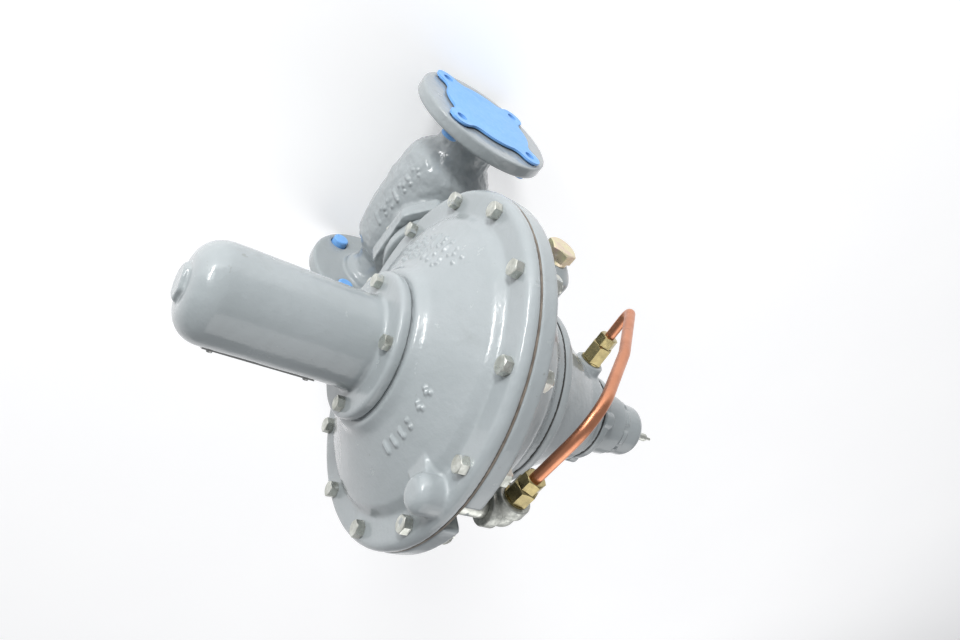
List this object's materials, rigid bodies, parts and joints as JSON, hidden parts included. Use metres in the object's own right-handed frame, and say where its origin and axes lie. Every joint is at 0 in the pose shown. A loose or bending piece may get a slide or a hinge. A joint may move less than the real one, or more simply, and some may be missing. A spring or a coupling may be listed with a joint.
{
  "type": "pressure regulator",
  "caption": "Flanged gas pressure regulator: round diaphragm casing on a globe body, spring tower in front, pilot with a bent copper tube behind, plastic flange covers.",
  "frame": {"origin": "centre of the inlet flange's gasket face, on the pipe's axis", "axes": "+X along the pipe from inlet to outlet, +Z from the pipe up to the diaphragm casing, -Y along the spring case, +Y towards the pilot"},
  "size_m": [0.31, 0.482, 0.4952],
  "materials": {
    "body_paint": "glossy light grey enamel over a sand-cast surface",
    "casing_paint": "glossy light grey enamel",
    "zinc": "zinc plated, partly oversprayed",
    "yellow_zinc": "yellow passivated zinc",
    "steel": "machined",
    "malleable_iron": "galvanised malleable iron",
    "brass": "machined brass",
    "copper": "drawn copper, slightly dulled",
    "spring_steel": "oiled spring steel",
    "seal_rubber": "matt nitrile rubber",
    "gasket": "compressed fibre",
    "blue_plastic": "moulded polyethylene",
    "plate_metal": "bare aluminium"
  },
  "bodies": {
    "housing": {"valve_body": "body_paint", "orifice_ring": "steel", "body_gasket": "gasket", "body_cap_screws": "zinc", "stem_guide": "brass", "stem_o_ring": "seal_rubber", "rear_casing": "casing_paint", "front_casing": "casing_paint", "casing_bolts": "zinc", "casing_nuts": "zinc", "main_diaphragm": "seal_rubber", "main_spring": "spring_steel", "spring_button": "steel", "lever_pin": "steel", "spring_case": "casing_paint", "spring_case_gasket": "gasket", "spring_case_screws": "zinc", "nameplate": "plate_metal", "nameplate_rivets": "plate_metal", "relay_case": "casing_paint", "relay_gasket": "gasket", "relay_case_screws": "zinc", "pilot_orifice": "brass", "pilot_diaphragm": "seal_rubber", "pilot_spring": "spring_steel", "pilot_spring_case": "casing_paint", "pilot_case_screws": "zinc", "nipple": "zinc", "street_elbow": "malleable_iron", "lower_connector": "brass", "lower_tube_nut": "brass", "upper_connector": "brass", "upper_tube_nut": "brass", "copper_tube": "copper", "hex_plug": "yellow_zinc"},
    "diaphragm_stack": {"rear_plate": "plate_metal", "front_plate": "plate_metal", "pusher_post": "steel", "post_nut": "zinc"},
    "bell_crank": {"lever": "steel", "lever_top_pin": "steel"},
    "valve_plug": {"valve_stem": "steel", "disc_holder": "steel", "valve_disc": "seal_rubber", "disc_screw": "steel"},
    "pilot_valve": {"pilot_plate": "plate_metal", "pilot_plug": "steel"},
    "spring_seat": {"pilot_spring_seat": "zinc"},
    "range_screw": {"adjusting_screw": "zinc"},
    "range_lock_nut": {"lock_nut": "zinc"},
    "cap_washer": {"cap_gasket": "gasket"},
    "screw_cap": {"closing_cap": "casing_paint", "cap_vent": "zinc"},
    "inlet_shipping_cover": {"inlet_cover": "blue_plastic"},
    "outlet_shipping_cover": {"outlet_cover": "blue_plastic"}
  },
  "joints": [
    {"name": "diaphragm_travel", "type": "slide", "parent": "housing", "child": "diaphragm_stack", "axis": [0, -1, 0], "range_m": [0, 0.026], "stiffness_N_per_m": 9000, "springref_m": -0.012, "deforming": ["main_diaphragm", "main_spring"]},
    {"name": "lever_turn", "type": "hinge", "parent": "housing", "child": "bell_crank", "pos_m": [0.127, -0.025, 0.15], "axis": [1, 0, 0], "range_deg": [0, 13.1]},
    {"name": "stem_lift", "type": "slide", "parent": "housing", "child": "valve_plug", "axis": [0, 0, 1], "range_m": [0, 0.0058]},
    {"name": "pilot_lift", "type": "slide", "parent": "housing", "child": "pilot_valve", "axis": [0, 1, 0], "range_m": [0, 0.0025], "stiffness_N_per_m": 20000, "springref_m": -0.001, "deforming": ["pilot_diaphragm", "pilot_spring"]},
    {"name": "spring_seat_travel", "type": "slide", "parent": "housing", "child": "spring_seat", "axis": [0, -1, 0], "range_m": [-0.0016, 0.0046]},
    {"name": "range_screw_turn", "type": "hinge", "parent": "spring_seat", "child": "range_screw", "pos_m": [0.127, 0.17, 0.264], "axis": [0, -1, 0], "range_deg": [-360, 1080]},
    {"name": "lock_nut_turn", "type": "hinge", "parent": "housing", "child": "range_lock_nut", "pos_m": [0.127, 0.17, 0.264], "axis": [0, 1, 0], "range_deg": [0, 180]},
    {"name": "cap_washer_travel", "type": "slide", "parent": "housing", "child": "cap_washer", "axis": [0, 1, 0], "range_m": [0, 0.0101]},
    {"name": "cap_unscrew", "type": "hinge", "parent": "cap_washer", "child": "screw_cap", "pos_m": [0.127, 0.17, 0.264], "axis": [0, 1, 0], "range_deg": [0, 1800]},
    {"name": "inlet_cover_pull", "type": "slide", "parent": "housing", "child": "inlet_shipping_cover", "axis": [-1, 0, 0], "range_m": [0, 0.06]},
    {"name": "outlet_cover_pull", "type": "slide", "parent": "housing", "child": "outlet_shipping_cover", "axis": [1, 0, 0], "range_m": [0, 0.06]}
  ],
  "couplings": [
    {"joint": "lever_turn", "follows": "diaphragm_travel", "rad_per_m": 8.7342},
    {"joint": "stem_lift", "follows": "diaphragm_travel", "ratio": 0.2193},
    {"joint": "spring_seat_travel", "follows": "range_screw_turn", "m_per_rad": 0.00023873},
    {"joint": "cap_washer_travel", "follows": "cap_unscrew", "m_per_rad": 0.00031831}
  ]
}
